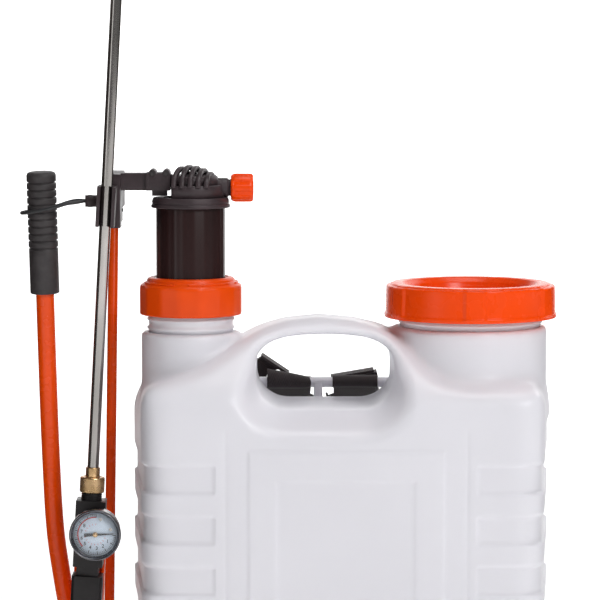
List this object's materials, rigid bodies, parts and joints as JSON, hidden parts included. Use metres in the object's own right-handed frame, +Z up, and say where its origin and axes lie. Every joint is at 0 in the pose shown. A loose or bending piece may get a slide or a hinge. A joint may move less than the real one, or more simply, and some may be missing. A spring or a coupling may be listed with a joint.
{
  "type": "backpack sprayer",
  "caption": "Backpack sprayer with a translucent tank, side lever pump, screw filler cap, shoulder straps and a clipped spray gun with pressure gauge and steel lance",
  "frame": {"origin": "centre of the stand's underside", "axes": "+Z up, +Y towards the wearer's back and the straps, -X towards the pump lever"},
  "size_m": [0.4708, 0.269, 0.8795],
  "materials": {
    "tank_plastic": "translucent natural polyethylene, satin",
    "stand_plastic": "moulded, fine grain",
    "orange_plastic": "moulded, glossy",
    "black_plastic": "moulded, satin",
    "chamber_plastic": "dark smoked, slightly translucent",
    "lever_paint": "powder coat, gloss",
    "grip_rubber": "soft matte",
    "seal_rubber": "smooth",
    "steel": "drawn tube, brushed",
    "brass": "turned and knurled",
    "gauge_metal": "dark polished",
    "dial_face": "printed enamel",
    "pointer": "matte",
    "lens": "clear",
    "white_plastic": "moulded",
    "webbing": "woven polypropylene webbing",
    "pad_fabric": "woven nylon over foam",
    "buckle_plastic": "moulded"
  },
  "bodies": {
    "tank": {"tank_shell": "tank_plastic", "base_stand": "stand_plastic", "base_screws": "steel", "shaft_bushes": "white_plastic", "guide_nut": "orange_plastic", "pump_barrel": "white_plastic", "barrel_gasket": "seal_rubber", "inlet_valve": "seal_rubber", "suction_strainer": "orange_plastic", "strainer_basket": "white_plastic", "strap_left": "webbing", "strap_right": "webbing", "pad_left": "pad_fabric", "pad_right": "pad_fabric", "buckle_left": "buckle_plastic", "buckle_right": "buckle_plastic", "strap_hooks": "buckle_plastic"},
    "pump_lever": {"lever_shaft": "steel", "lever_hub": "lever_paint", "lever_tube": "lever_paint", "lever_grip": "grip_rubber", "crank_arm": "lever_paint", "crank_pin": "steel", "shaft_clip": "steel"},
    "air_pump": {"air_chamber": "chamber_plastic", "chamber_cap": "black_plastic", "cap_oring": "seal_rubber", "dip_tube": "white_plastic", "outlet_ball": "steel", "piston_seal": "seal_rubber", "pump_bracket": "black_plastic", "bracket_screws": "steel", "link_rod": "lever_paint", "tie_loop": "seal_rubber", "hose_washer": "seal_rubber"},
    "outlet_nut": {"hose_nut": "orange_plastic"},
    "spray_gun": {"gun_valve_body": "black_plastic", "gun_handle": "black_plastic", "gauge_case": "gauge_metal", "gauge_bezel": "gauge_metal", "gauge_dial": "dial_face", "gauge_screws": "steel", "gauge_lens": "lens", "trigger_pin": "steel", "valve_spring": "steel", "hose_tail": "brass", "gun_filter": "white_plastic", "lance_tube": "steel", "lance_collar": "brass", "nozzle_body": "black_plastic"},
    "pointer": {"gauge_pointer": "pointer"},
    "trigger": {"gun_trigger": "orange_plastic"},
    "stem": {"valve_stem": "brass"},
    "handle_nut": {"gun_hose_nut": "orange_plastic"},
    "lance_union": {"lance_nut": "brass"},
    "nozzle": {"nozzle_cap": "orange_plastic"},
    "cap_seal": {"cap_gasket": "seal_rubber"},
    "cap": {"filler_cap": "orange_plastic", "cap_vent": "seal_rubber"}
  },
  "joints": [
    {"name": "lever_swing", "type": "hinge", "parent": "tank", "child": "pump_lever", "pos_m": [-0.229, -0.01, 0.044], "axis": [-1, 0, 0], "range_deg": [0, 64], "deforming": ["tie_loop"]},
    {"name": "pump_stroke", "type": "slide", "parent": "tank", "child": "air_pump", "axis": [0, 0, 1], "range_m": [-0.056, 0]},
    {"name": "outlet_nut_spin", "type": "hinge", "parent": "air_pump", "child": "outlet_nut", "pos_m": [-0.09, 0, 0.54], "axis": [1, 0, 0], "continuous": true},
    {"name": "gun_unclip", "type": "slide", "parent": "air_pump", "child": "spray_gun", "axis": [0, -1, 0], "range_m": [0, 0.06]},
    {"name": "pointer_turn", "type": "hinge", "parent": "spray_gun", "child": "pointer", "pos_m": [-0.21335, -0.092, 0.24569], "axis": [0, 1, 0], "range_deg": [0, 270], "stiffness_Nm_per_rad": 0.005, "springref_deg": -5.73},
    {"name": "trigger_squeeze", "type": "hinge", "parent": "spray_gun", "child": "trigger", "pos_m": [-0.221, -0.029, 0.23409], "axis": [-0.9985, 0, 0.0548], "range_deg": [0, 8], "stiffness_Nm_per_rad": 3, "springref_deg": -8.59},
    {"name": "stem_push", "type": "slide", "parent": "spray_gun", "child": "stem", "axis": [0, -1, 0], "range_m": [0, 0.0025], "deforming": ["valve_spring"]},
    {"name": "handle_nut_spin", "type": "hinge", "parent": "spray_gun", "child": "handle_nut", "pos_m": [-0.22691, -0.048, 0.12626], "axis": [0.0548, 0, 0.9985], "continuous": true},
    {"name": "lance_nut_spin", "type": "hinge", "parent": "spray_gun", "child": "lance_union", "pos_m": [-0.21842, -0.048, 0.28102], "axis": [0.0548, 0, 0.9985], "continuous": true},
    {"name": "nozzle_turn", "type": "hinge", "parent": "spray_gun", "child": "nozzle", "pos_m": [-0.18638, -0.048, 0.86514], "axis": [0.0548, 0, 0.9985], "range_deg": [0, 180]},
    {"name": "cap_lift", "type": "slide", "parent": "tank", "child": "cap_seal", "axis": [0, 0, 1], "range_m": [0, 0.08]},
    {"name": "cap_turn", "type": "hinge", "parent": "cap_seal", "child": "cap", "pos_m": [0.1135, 0, 0.445], "axis": [0, 0, 1], "continuous": true}
  ],
  "couplings": [
    {"joint": "pump_stroke", "follows": "lever_swing", "m_per_rad": -0.05},
    {"joint": "stem_push", "follows": "trigger_squeeze", "m_per_rad": 0.017}
  ]
}
